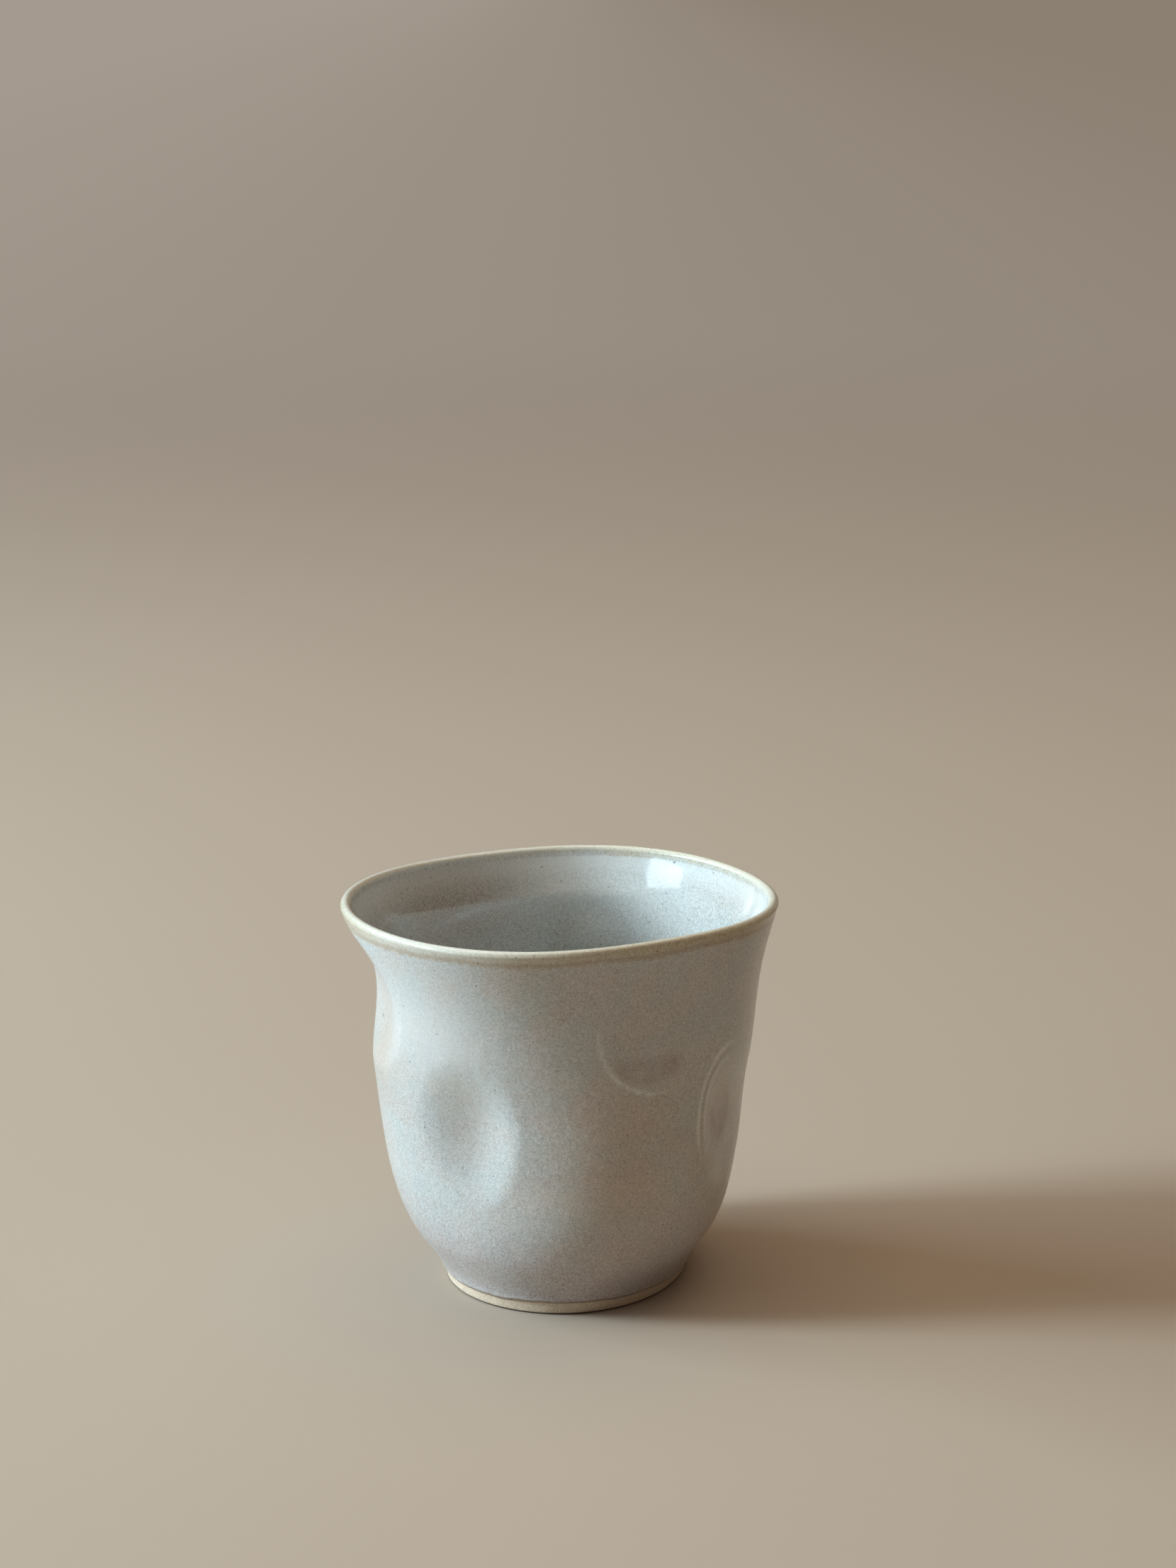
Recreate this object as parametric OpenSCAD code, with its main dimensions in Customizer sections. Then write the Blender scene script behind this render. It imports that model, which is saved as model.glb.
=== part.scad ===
// A hand-made stoneware cup with no handle, in millimetres.
// The foot stands on the table at z = 0, centred on the origin, and +Z is up.
// The wall is one skin of clay, and three coats of glaze lie on it edge to edge.

/* [Cup] */
// Height from the table to the top of the lip
cup_h = 80.7; // [74:0.1:95]
// Width across the lip, the mean of its oval
lip_d = 85.1; // [80:0.1:92]
// Width across the neck, under the lip
neck_d = 79.7; // [76:0.1:86]
// Height of the neck
neck_z = 69.7; // [62:0.1:72]
// Width across the shoulder
shoulder_d = 76.5; // [72:0.1:84]
// Height of the shoulder
shoulder_z = 50.9; // [44:0.1:58]
// Width across the belly
belly_d = 72.9; // [69:0.1:80]
// Height of the belly
belly_z = 31.8; // [26:0.1:38]
// Width across the heel, where the wall turns in to the foot
heel_d = 64.6; // [60:0.1:69]
// Height of the heel
heel_z = 13.1; // [10:0.1:18]
// How far the top leans to the right
lean_x = 1.7; // [-4:0.1:4]
// How far the top leans away from the front
lean_y = -1.5; // [-4:0.1:4]

/* [Clay] */
// Thickness of the rounded lip, over its glaze
lip_t = 2.1; // [1.6:0.1:3]
// Thickness of the wall at the neck and shoulder, over both glazes
wall_t = 2.9; // [2.4:0.1:4]
// Thickness of the wall at the heel, over both glazes
heel_t = 4.3; // [3.4:0.1:6]
// Thickness of the floor over the recess under the foot, with its glaze
floor_t = 4.6; // [3.5:0.1:7]
// Height of the rounded bottom of the inside
bowl_h = 15; // [9:0.5:20]

/* [Foot] */
// Width across the bare clay where it stands on the table
foot_d = 50.3; // [46:0.1:54]
// Size of the worn edge round the foot
foot_edge = 0.5; // [0.2:0.1:0.8]
// Width of the turned recess under the foot, at the table
recess_d = 39; // [32:0.5:42]
// Depth of the turned recess
recess_depth = 1.5; // [0.8:0.1:2]

/* [Glaze] */
// Thickness of every coat of glaze
coat = 0.35; // [0.2:0.01:0.5]
// Width across the outer glaze where it ends above the foot
collar_d = 52.2; // [50:0.1:55]
// Height of the bare band of clay above the table
bare_h = 2.6; // [1.6:0.1:4]
// Height of the ochre band below the top of the lip, outside
lip_band_h = 2.3; // [1.6:0.1:4]
// Height of the ochre band below the top of the lip, inside
lip_band_in_h = 1.9; // [1.6:0.1:4]
// How far the edges of the coats wander up and down
edge_wander = 0.15; // [0:0.01:0.3]
// Height over which the outer coat thickens from its lower edge
bead_h = 0.7; // [0.4:0.1:1.5]

/* [Pressed places] */
// Half width of the widest thumb press
press_w = 17.4; // [12:0.1:24]
// Half height of the tallest thumb press
press_h = 17; // [12:0.1:22]
// Depth of the deepest thumb press
press_depth = 4.7; // [0:0.1:6]

/* [Hidden] */

clay_colour = [0.75, 0.70, 0.61];
outer_colour = [0.80, 0.83, 0.83];
liner_colour = [0.76, 0.81, 0.80];
lip_colour = [0.62, 0.56, 0.42];

// Sides round the cup, and spans between the rings of points on each stretch of wall
sides = 56;
outer_spans = 16;
inner_spans = 10;
bowl_spans = 7;
lip_spans = 6;
// How much closer the rings stand at both ends of a stretch
gather_share = 0.06;
// Squareness of the bowl's section, where 2 is an ellipse
fullness = 2.3;
// Thickness of the outer coat at its very edge
bead_share = 0.45;
// How far a cut runs past the face that it opens
overrun = 1;

// Out of round: the share of the radius that swells once, twice, three and four times round,
// and the angle where each swelling points
rim_shares = [0.0715, 0.0605, 0.009, 0.019];
rim_turns = [187, 25, -26, -16];
belly_shares = [0, 0.006, 0.051, 0];
belly_turns = [0, 48.5, 65, 0];
foot_shares = [0, 0.046, 0.012, 0];
foot_turns = [0, 61, 41.5, 0];

// Waves of the glaze edges round the cup
bare_waves = 3;
band_waves = 4;

// Thumb presses: left under the flare, low right, low left of the front, high right of the
// front, and three round the back
press_turns = [190.3, -23.4, 235.6, 294.5, 128, 84, 36];
press_rise_shares = [0.773, 0.5068, 0.4957, 0.7187, 0.519, 0.719, 0.5985];
press_width_shares = [1, 0.971, 0.747, 0.489, 0.885, 0.632, 0.759];
press_height_shares = [0.935, 0.888, 1, 0.471, 0.818, 0.6, 0.706];
press_depth_shares = [1, 0.511, 0.574, 0.106, 0.362, 0.234, 0.277];
// How far each press leans to one flank, and the power that draws its rim, where 2 is soft
press_lean_shares = [-0.065, 0.28, -0.1, 0.3, 0, 0, 0];
press_edges = [1.67, 1.3, 2, 1.5, 2, 2, 2];

// Outside of the cup over its glaze: radius at each station up the wall
station_z = [0, bare_h, heel_z, belly_z, shoulder_z, neck_z, cup_h];
station_r = [
    foot_d / 2 + coat, collar_d / 2, heel_d / 2, belly_d / 2,
    shoulder_d / 2, neck_d / 2, lip_d / 2
];
last = len(station_z) - 1;
secants = [for (i = [0:last - 1])
    (station_r[i + 1] - station_r[i]) / (station_z[i + 1] - station_z[i])];
inner_slopes = [for (i = [1:last - 1])
    let(below = station_z[i] - station_z[i - 1], above = station_z[i + 1] - station_z[i])
    (secants[i - 1] * above + secants[i] * below) / (below + above)];
slopes = concat(
    [1.5 * secants[0] - 0.5 * inner_slopes[0]],
    inner_slopes,
    [1.5 * secants[last - 1] - 0.5 * inner_slopes[last - 2]]);

floor_z = recess_depth + floor_t;
bowl_top_z = floor_z + bowl_h;
lip_half = lip_t / 2;
lip_z = cup_h - lip_half;

// A step that eases in and out, from 0 to 1
function ease(t) = let(u = min(1, max(0, t))) u * u * (3 - 2 * u);

// Even shares from 0 to 1 that gather at both ends
function gathered(i, spans) = i / spans - gather_share * sin(360 * i / spans);

// Radius of the round outline at height z: one cubic between each pair of stations
function station_below(z, i = 1) = i == last || z < station_z[i] ? i - 1 : station_below(z, i + 1);
function outline(z) =
    let(i = station_below(z),
        h = station_z[i + 1] - station_z[i],
        t = (z - station_z[i]) / h,
        u = 1 - t)
    station_r[i] * (1 + 2 * t) * u * u + slopes[i] * h * t * u * u
    + station_r[i + 1] * t * t * (3 - 2 * t) - slopes[i + 1] * h * t * t * u;

// Sum of the swellings round the cup at angle a
function swelling(shares, turns, a) =
    let(waves = [for (n = [0:3]) shares[n] * cos((n + 1) * (a - turns[n]))])
    waves[0] + waves[1] + waves[2] + waves[3];

// Out-of-round factor: the foot's below, the belly's between, the lip's above
function squeeze(z, a) =
    let(risen = ease((z - belly_z) / (cup_h - belly_z)), grown = ease(z / belly_z))
    1 + risen * swelling(rim_shares, rim_turns, a)
    + (1 - risen) * grown * swelling(belly_shares, belly_turns, a)
    + (1 - grown) * swelling(foot_shares, foot_turns, a);

// Depth of one thumb press at height z and angle a
function apart(a, b) = let(d = (a - b) % 360) d > 180 ? d - 360 : d < -180 ? d + 360 : d;
function press(i, z, a) =
    let(t = apart(a, press_turns[i]) * PI / 180 * shoulder_d / 2 / (press_w * press_width_shares[i]),
        c = min(1, max(-1, t)),
        s = c + press_lean_shares[i] * (1 - c * c),
        q = (z - cup_h * press_rise_shares[i]) / (press_h * press_height_shares[i]),
        left = max(0, 1 - s * s - q * q))
    press_depth * press_depth_shares[i] * pow(left, press_edges[i]);
function pressed(z, a, i = 0) = i == len(press_turns) ? 0 : press(i, z, a) + pressed(z, a, i + 1);

// Radius of the finished outside at height z and angle a
function outside(z, a) = outline(z) * squeeze(z, a) - pressed(z, a);

// Thickness of the finished wall at height z
function wall(z) =
    lip_t + (wall_t - lip_t) * ease((lip_z - z) / (lip_z - neck_z))
    + (heel_t - wall_t) * ease((shoulder_z - z) / (shoulder_z - heel_z));

// A point at radius r, angle a and height z, moved with the lean of height at_z
function leant(r, a, z, at_z) =
    [r * cos(a) + lean_x * at_z / cup_h, r * sin(a) + lean_y * at_z / cup_h, z];

// Points on the outside, the lip, the inside and its rounded bottom, under a depth of glaze
function wall_point(z, a, under) = leant(outside(z, a) - under, a, z, z);
function lip_point(turn, a, under) = leant(
    outside(lip_z, a) - lip_half + (lip_half - under) * cos(turn), a,
    lip_z + (lip_half - under) * sin(turn), lip_z);
function lining_point(z, a, under) = leant(outside(z, a) - wall(z) + under, a, z, z);
function bowl_point(turn, a, under) =
    let(z = bowl_top_z - bowl_h * pow(sin(turn), 2 / fullness),
        r = (outside(z, a) - wall(z)) * pow(cos(turn), 2 / fullness))
    leant(r + under * cos(turn), a, z - under * sin(turn), z);

// Heights of the edges of the coats at angle a
function bare_edge(a) = bare_h + edge_wander * sin(bare_waves * a);
function band_edge(a) = cup_h - lip_band_h + edge_wander * sin(band_waves * a);
function band_in_edge(a) = cup_h - lip_band_in_h - edge_wander * cos(band_waves * a);

// Thickness of the outer coat at a height above its lower edge
function bead(rise) = coat * (bead_share + (1 - bead_share) * ease(rise / bead_h));

// Rings of points, each a full turn, under a depth of glaze
turns = [for (j = [0:sides - 1]) 360 * j / sides];
function outer_z(i, a) = bare_edge(a) + (band_edge(a) - bare_edge(a)) * gathered(i, outer_spans);
function outer_clay() = [for (i = [0:outer_spans], a = turns) wall_point(outer_z(i, a), a, coat)];
function outer_skin() = [for (i = [0:outer_spans], a = turns)
    let(z = outer_z(i, a)) wall_point(z, a, coat - bead(z - bare_edge(a)))];
function lip_rings(under) = [for (i = [0:lip_spans], a = turns)
    lip_point(180 * i / lip_spans, a, under)];
function inner_z(i, a) = band_in_edge(a) + (bowl_top_z - band_in_edge(a)) * gathered(i, inner_spans);
function inner_rings(under) = [for (i = [0:inner_spans], a = turns)
    lining_point(inner_z(i, a), a, under)];
function bowl_rings(under) = [for (i = [1:bowl_spans - 1], a = turns)
    bowl_point(90 * i / bowl_spans, a, under)];
function band_ring(under) = [for (a = turns) wall_point(band_edge(a), a, under)];
function band_in_ring(under) = [for (a = turns) lining_point(band_in_edge(a), a, under)];
function bowl_centre(under) = [bowl_point(90, 0, under)];
function foot_rings() = concat(
    [for (a = turns) leant(outside(0, a) - coat - foot_edge, a, 0, 0)],
    [for (a = turns) wall_point(foot_edge, a, coat)]);

// Triangles between two rings that start at points p and q, and fans to and from a centre
function strip(p, q, turned = false) = [for (j = [0:sides - 1])
    let(k = (j + 1) % sides)
    each turned ? [[p + j, q + k, q + j], [p + j, p + k, q + k]]
        : [[p + j, q + j, q + k], [p + j, q + k, p + k]]];
function sheet(p, spans, turned = false) = [for (i = [0:spans - 1])
    each strip(p + i * sides, p + (i + 1) * sides, turned)];
function fan_from(centre, q) = [for (j = [0:sides - 1]) [centre, q + j, q + (j + 1) % sides]];
function fan_to(p, centre, turned = false) = [for (j = [0:sides - 1])
    let(k = (j + 1) % sides) turned ? [p + j, p + k, centre] : [p + j, centre, p + k]];

// A coat between its glossy face and the clay: two sheets of rings joined at both edges
module coating(skin, clay) {
    spans = len(skin) / sides - 1;
    under = len(skin);
    end = spans * sides;
    polyhedron(
        concat(skin, clay),
        concat(
            sheet(0, spans),
            sheet(under, spans, true),
            strip(under, 0),
            strip(under + end, end, true)));
}

// A coat that closes over the middle of the floor
module lining(skin, clay, skin_centre, clay_centre) {
    spans = len(skin) / sides - 1;
    under = len(skin);
    end = spans * sides;
    centre = len(skin) + len(clay);
    polyhedron(
        concat(skin, clay, skin_centre, clay_centre),
        concat(
            sheet(0, spans),
            sheet(under, spans, true),
            strip(under, 0),
            fan_to(end, centre),
            fan_to(under + end, centre + 1, true)));
}

// The whole skin of clay, from the middle of the base over the lip to the middle of the floor
module clay_skin() {
    rings = concat(foot_rings(), outer_clay(), lip_rings(coat), inner_rings(coat), bowl_rings(coat));
    spans = len(rings) / sides - 1;
    base = len(rings);
    polyhedron(
        concat(rings, [[0, 0, 0]], bowl_centre(coat)),
        concat(
            fan_from(base, 0),
            sheet(0, spans),
            fan_to(spans * sides, base + 1)));
}

module stoneware_body() {
    color(clay_colour)
    difference() {
        clay_skin();
        translate([0, 0, -overrun])
        cylinder(
            h = overrun + recess_depth,
            d1 = recess_d + 2 * overrun,
            d2 = recess_d - 2 * recess_depth,
            $fn = 96);
    }
}

module outer_glaze() {
    color(outer_colour)
    coating(outer_skin(), outer_clay());
}

module liner_glaze() {
    color(liner_colour)
    lining(
        concat(inner_rings(0), bowl_rings(0)),
        concat(inner_rings(coat), bowl_rings(coat)),
        bowl_centre(0),
        bowl_centre(coat));
}

module lip_glaze() {
    color(lip_colour)
    coating(
        concat(band_ring(0), lip_rings(0), band_in_ring(0)),
        concat(band_ring(coat), lip_rings(coat), band_in_ring(coat)));
}

stoneware_body();
outer_glaze();
liner_glaze();
lip_glaze();
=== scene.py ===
"""A hand-made stoneware cup with thumb-pressed walls, dressed for a studio picture.

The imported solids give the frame. Each coat of glaze and the clay under it is drawn again as a
fine surface worked out from the same outline, and each gets its own fired finish.
"""
import logging
import math
from dataclasses import dataclass, field, replace
from enum import Enum
from functools import reduce

import bpy
import numpy as np
from bpy.types import Material, Node, NodeSocket as Socket, NodeTree, Object
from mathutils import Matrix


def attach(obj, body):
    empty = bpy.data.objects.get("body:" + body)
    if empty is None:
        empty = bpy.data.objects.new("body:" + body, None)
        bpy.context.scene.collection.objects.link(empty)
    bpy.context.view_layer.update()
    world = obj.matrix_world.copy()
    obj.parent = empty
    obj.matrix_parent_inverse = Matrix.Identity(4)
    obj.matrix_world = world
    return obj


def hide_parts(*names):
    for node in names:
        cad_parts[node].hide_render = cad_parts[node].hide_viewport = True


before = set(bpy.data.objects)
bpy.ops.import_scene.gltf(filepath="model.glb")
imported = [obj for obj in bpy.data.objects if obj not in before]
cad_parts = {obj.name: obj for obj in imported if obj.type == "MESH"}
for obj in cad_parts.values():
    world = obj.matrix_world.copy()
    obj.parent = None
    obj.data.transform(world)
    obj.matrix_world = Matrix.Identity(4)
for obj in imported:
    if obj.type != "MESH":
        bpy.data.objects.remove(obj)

log = logging.getLogger("cup")

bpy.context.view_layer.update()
MM = 0.001
FULL_TURN = 2 * math.pi

Array = np.ndarray
Triple = tuple[float, float, float]
Screen = tuple[int, int, int]

# Where the lines on a dent's rim run and how wide they are, as values of 1 - s^2 - q^2: pale
# lines of thinner glaze with a painted highlight, and between them a groove of painted shade.
RIM_LINE = (0.0, 0.08)
GROOVE = (0.18, 0.08)
LEDGE_LINE = (0.36, 0.1)
# The cosine at which they begin round the rim, and how far on they are full.
LINES_FROM, LINES_FADE = 0.3, 0.6
# The foot's bare clay across, and one coat of glaze, in millimetres.
FOOT_CLAY, COAT = 50.3, 0.35
# How soon a dent fills with its rusty colour from the rim, and how it falls off towards the
# top. In the right-hand dent that colour is painted shade in the hollow as well.
STAIN_FILL, STAIN_MIDDLE, STAIN_FALL = 1.6, 0.6, 1.2
# A dent's own s runs no further than this to either side.
OVAL_LIMIT = 1.2


def ease(t: Array) -> Array:
    """A step that eases in and out: t^2 (3 - 2 t) between 0 and 1."""
    u = np.clip(t, 0, 1)
    return u * u * (3 - 2 * u)


def bell(at: Array, middle: float, width: float) -> Array:
    """A bell curve, 1 in the middle: exp(-((at - middle) / width)^2)."""
    return np.exp(-((at - middle) / width) ** 2)


class Side(Enum):
    """Which way a sheet of points faces when it is built into a mesh."""

    OUTWARD = "outward"
    REVERSED = "reversed"


@dataclass(frozen=True)
class Press:
    """One thumb press in the wall, in degrees and millimetres.

    The press is an oval dent. `lean` moves its deepest place sideways, so that one flank is
    steep and the other long, and `edge` is the power that draws its rim: 2 is soft, 1 is crisp.
    `thins` is how far the glaze has run thinner on the rim towards `thin_turn`, an angle in the
    oval with 0 to the right and 90 up; the pale lines there carry a painted highlight, and the
    groove between them is painted shade. `ledge` is how strong the second line is, and
    `stain` how rusty the dent is, which in the right-hand dent is painted shade in its
    hollow as well. A press with no depth is only a mark in the glaze.
    """

    turn: float
    rise: float
    half_width: float
    half_height: float
    depth: float
    lean: float = 0.0
    edge: float = 2.0
    thins: float = 0.0
    thin_turn: float = 180.0
    ledge: float = 0.0
    stain: float = 0.0

    def oval(self, z: Array, angle: Array, arc_radius: float) -> tuple[Array, Array]:
        """Places in the dent's own oval: s across and q up, each 1 at the rim.

        Args:
            z: Heights in millimetres.
            angle: Angles in radians.
            arc_radius: Radius that turns an angle into a length along the wall.

        Returns:
            The two coordinates.
        """
        apart = (angle - math.radians(self.turn) + math.pi) % FULL_TURN - math.pi
        s = np.clip(apart * arc_radius / self.half_width, -OVAL_LIMIT, OVAL_LIMIT)
        s = s + self.lean * np.clip(1 - s * s, 0, 1)
        return s, (z - self.rise) / self.half_height

    def depth_at(self, s: Array, q: Array) -> Array:
        """Depth of the dent: depth times (1 - s^2 - q^2) to the power `edge`, 0 outside it."""
        return self.depth * np.clip(1 - s * s - q * q, 0, 1) ** self.edge

    def thin_at(self, s: Array, q: Array) -> Array:
        """Pale lines of thinner glaze with a painted highlight, on the rim and a ledge inside, and
        a groove of painted shade between.

        Each is a bell curve of how far inside the rim a place is, and the groove's is below 0.
        """
        inside = 1 - s * s - q * q
        facing = np.cos(np.arctan2(q, s) - math.radians(self.thin_turn))
        second = bell(inside, *LEDGE_LINE) - bell(inside, *GROOVE)
        lines = bell(inside, *RIM_LINE) + self.ledge * second
        return self.thins * ease((facing - LINES_FROM) / LINES_FADE) * lines

    def stain_at(self, s: Array, q: Array) -> Array:
        """How rusty a place is, with painted shade in the right-hand dent's hollow: nothing at the
        rim, full in the lower half of the dent.
        """
        filled = ease(STAIN_FILL * (1 - s * s - q * q))
        return self.stain * filled * ease(STAIN_MIDDLE - STAIN_FALL * q)


@dataclass(frozen=True)
class Bloom:
    """A soft patch of painted light and shade in the glaze, in degrees and millimetres: a bell
    curve round and up the cup.
    """

    turn: float
    spread: float
    rise: float
    tall: float
    strength: float = 1.0

    def at(self, z: Array, angle: Array) -> Array:
        """How strong the patch is: its strength in the middle, fading to 0."""
        apart = (np.degrees(angle) - self.turn + 180) % 360 - 180
        return self.strength * bell(apart, 0.0, self.spread) * bell(z, self.rise, self.tall)


def blooming(blooms: tuple[Bloom, ...], z: Array, angle: Array) -> Array:
    """How strong a group of patches is together."""
    return sum(bloom.at(z, angle) for bloom in blooms)


@dataclass(frozen=True)
class Swelling:
    """Out of round at one level: shares of the radius that swell once, twice and more round."""

    shares: tuple[float, ...]
    turns: tuple[float, ...]

    def at(self, angle: Array) -> Array:
        """Sum of share times cos(n (angle - turn)) over the waves n = 1, 2, 3, 4."""
        waves = np.arange(1, len(self.shares) + 1)
        phase = np.subtract.outer(angle, np.radians(self.turns)) * waves
        return np.cos(phase) @ np.array(self.shares)


def column(first: float, last: float, count: int) -> Array:
    """A column of evenly spaced values."""
    return np.linspace(first, last, count)[:, None]


def gathered(count: int, gather: float) -> Array:
    """A column of shares from 0 to 1, closer at both ends: t - gather sin(2 pi t)."""
    t = column(0, 1, count)
    return t - gather * np.sin(FULL_TURN * t)


@dataclass(frozen=True)
class CupShape:
    """The cup's surfaces as functions of height and angle, in millimetres.

    The stations are heights and diameters of the outline, the foot's with two coats on it, as
    every surface is measured from the glazed outside. `runs` are waves in the glaze's lower edge,
    each a height, a count round the cup and a shift. The glaze ends there in a round bead,
    `bead_rise` high, with a roll above it: its thickness, height and width.
    """

    height: float = 80.7
    stations: tuple[tuple[float, float], ...] = (
        (0.0, FOOT_CLAY + 2 * COAT), (2.6, 52.2), (13.1, 64.6), (31.8, 72.9),
        (50.9, 76.5), (69.7, 79.7), (80.7, 85.1),
    )
    belly_z: float = 31.8
    shoulder_z: float = 50.9
    neck_z: float = 69.7
    heel_z: float = 13.1
    lean: tuple[float, float] = (1.7, -1.5)
    lip_thickness: float = 2.1
    wall_thickness: float = 2.9
    heel_thickness: float = 4.3
    floor_z: float = 6.1
    bowl_height: float = 15.0
    fullness: float = 2.3
    foot_edge: float = 0.5
    recess_width: float = 39.0
    recess_depth: float = 1.5
    turning: float = 0.05
    turning_pitch: float = 2.2
    turning_room: float = 0.1
    coat: float = COAT
    bare_height: float = 2.6
    lip_band: float = 2.3
    lip_band_inside: float = 1.9
    wander: float = 0.15
    runs: tuple[Triple, ...] = ((0.06, 7, 1), (0.05, 13, 0), (0.03, 29, 2))
    bead_rise: float = 0.45
    bead_least: float = 0.25
    roll: Triple = (0.1, 0.7, 0.5)
    rim_swelling: Swelling = Swelling((0.0715, 0.0605, 0.009, 0.019), (187, 25, -26, -16))
    belly_swelling: Swelling = Swelling((0, 0.006, 0.051, 0), (0, 48.5, 65, 0))
    foot_swelling: Swelling = Swelling((0, 0.046, 0.012, 0), (0, 61, 41.5, 0))
    presses: tuple[Press, ...] = (
        Press(190.3, 62.4, 17.4, 15.9, 4.7, -0.065, 1.67),
        # The right-hand dent: its lines carry a painted highlight, its groove is painted shade, and
        # its rusty stain is partly painted shade in the hollow.
        Press(-23.4, 40.9, 16.9, 15.1, 2.4, 0.28, 1.3,
              thins=0.9, thin_turn=150, ledge=0.6, stain=0.2),
        Press(235.6, 40, 13, 17, 2.7, -0.1),
        Press(294.5, 58, 8.5, 8, 0.5, 0.3, 1.5),
        # Marks with no depth: pale lines with a painted highlight, a rusty stain, and painted shade
        # in the right-hand dent's hollow.
        Press(297, 62, 12.6, 12.3, 0.0, thins=0.64, thin_turn=222),
        Press(294, 56, 9, 5, 0.0, stain=0.36),
        Press(-32.5, 43, 7, 10, 0.0, stain=0.48),
        Press(128, 41.9, 15.4, 13.9, 1.7),
        Press(84, 58, 11, 10.2, 1.1),
        Press(36, 48.3, 13.2, 12, 1.3),
    )
    # Patches of painted warm shade, on the front and the left.
    warmth: tuple[Bloom, ...] = (Bloom(286, 23, 34, 28), Bloom(194, 16, 53, 12, 0.7))
    # Patches of painted light, mostly on the lit left side.
    milk: tuple[Bloom, ...] = (
        Bloom(220, 24, 61, 11), Bloom(237, 13, 42, 34, 0.36), Bloom(-35, 5, 29, 3),
    )
    # Painted light inside, on the far wall that the light falls on.
    painted_light_inside: tuple[Bloom, ...] = (Bloom(72, 34, 70, 15), Bloom(100, 26, 80, 6, 0.5))
    # Patches of painted warm shade inside.
    warm_shade_inside: tuple[Bloom, ...] = (Bloom(138, 30, 68, 12), Bloom(8, 26, 80, 8, 0.55))

    @property
    def lip_half(self) -> float:
        """Half the thickness of the lip, the radius of its round top."""
        return self.lip_thickness / 2

    @property
    def lip_z(self) -> float:
        """Height where the round top of the lip begins."""
        return self.height - self.lip_half

    @property
    def arc_radius(self) -> float:
        """Radius that turns an angle into a length along the wall, for the presses."""
        return dict(self.stations)[self.shoulder_z] / 2

    @property
    def dish_depth(self) -> float:
        """Depth of the recess as drawn, which leaves room for the lines of turning."""
        return self.recess_depth - self.turning_room

    @property
    def bowl_top(self) -> float:
        """Height where the rounded bottom of the inside begins."""
        return self.floor_z + self.bowl_height

    def outline(self, z: Array) -> Array:
        """Radius of the round outline: one cubic through each pair of stations.

        The slope at a station is the mean of the slopes beside it, weighted by the far gap.
        """
        heights = np.array([s[0] for s in self.stations])
        radii = np.array([s[1] / 2 for s in self.stations])
        gaps = np.diff(heights)
        secants = np.diff(radii) / gaps
        slopes = np.empty(len(heights))
        weighted = secants[:-1] * gaps[1:] + secants[1:] * gaps[:-1]
        slopes[1:-1] = weighted / (gaps[:-1] + gaps[1:])
        slopes[0] = 1.5 * secants[0] - 0.5 * slopes[1]
        slopes[-1] = 1.5 * secants[-1] - 0.5 * slopes[-2]
        i = np.clip(np.searchsorted(heights, z, "right") - 1, 0, len(gaps) - 1)
        t = (z - heights[i]) / gaps[i]
        u = 1 - t
        return (radii[i] * (1 + 2 * t) * u * u + slopes[i] * gaps[i] * t * u * u
                + radii[i + 1] * t * t * (3 - 2 * t) - slopes[i + 1] * gaps[i] * t * t * u)

    def outside(self, z: Array, angle: Array) -> Array:
        """Radius of the finished outside: the outline, out of round, less every press."""
        risen = ease((z - self.belly_z) / (self.height - self.belly_z))
        grown = ease(z / self.belly_z)
        squeeze = (1 + risen * self.rim_swelling.at(angle)
                   + (1 - risen) * grown * self.belly_swelling.at(angle)
                   + (1 - grown) * self.foot_swelling.at(angle))
        radius = self.outline(z) * squeeze
        for press in self.presses:
            radius = radius - press.depth_at(*press.oval(z, angle, self.arc_radius))
        return radius

    def marks(self, z: Array, angle: Array) -> dict[str, Array]:
        """The outer glaze's marks: thinner lines with painted highlights and grooves of painted
        shade, rusty stains with painted shade, painted warm shade and painted light.
        """
        ovals = [(press, *press.oval(z, angle, self.arc_radius)) for press in self.presses]
        return {"thin": sum(press.thin_at(s, q) for press, s, q in ovals),
                "stain": sum(press.stain_at(s, q) for press, s, q in ovals),
                "warmth": blooming(self.warmth, z, angle), "milk": blooming(self.milk, z, angle)}

    def wall(self, z: Array) -> Array:
        """Thickness of the finished wall, which grows from the lip down to the heel."""
        above = ease((self.lip_z - z) / (self.lip_z - self.neck_z))
        below = ease((self.shoulder_z - z) / (self.shoulder_z - self.heel_z))
        return (self.lip_thickness + (self.wall_thickness - self.lip_thickness) * above
                + (self.heel_thickness - self.wall_thickness) * below)

    def leant(self, radius: Array, angle: Array, z: Array, lean_z: Array) -> Array:
        """Points at a radius, angle and height, moved sideways with the lean of `lean_z`."""
        share = lean_z / self.height
        x = radius * np.cos(angle) + self.lean[0] * share
        y = radius * np.sin(angle) + self.lean[1] * share
        return np.stack(np.broadcast_arrays(x, y, z), -1)

    def wall_points(self, z: Array, angle: Array, under: Array) -> Array:
        """Points on the outside, under a depth of glaze."""
        return self.leant(self.outside(z, angle) - under, angle, z, z)

    def lip_points(self, turn: Array, angle: Array, under: float) -> Array:
        """Points round the lip: a half circle from the outside (0) to the inside (pi)."""
        at = np.full_like(angle, self.lip_z)
        round_off = self.lip_half - under
        radius = self.outside(at, angle) - self.lip_half + round_off * np.cos(turn)
        return self.leant(radius, angle, self.lip_z + round_off * np.sin(turn), at)

    def lining_points(self, z: Array, angle: Array, under: float) -> Array:
        """Points on the inside of the wall, under a depth of glaze."""
        return self.leant(self.outside(z, angle) - self.wall(z) + under, angle, z, z)

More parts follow.
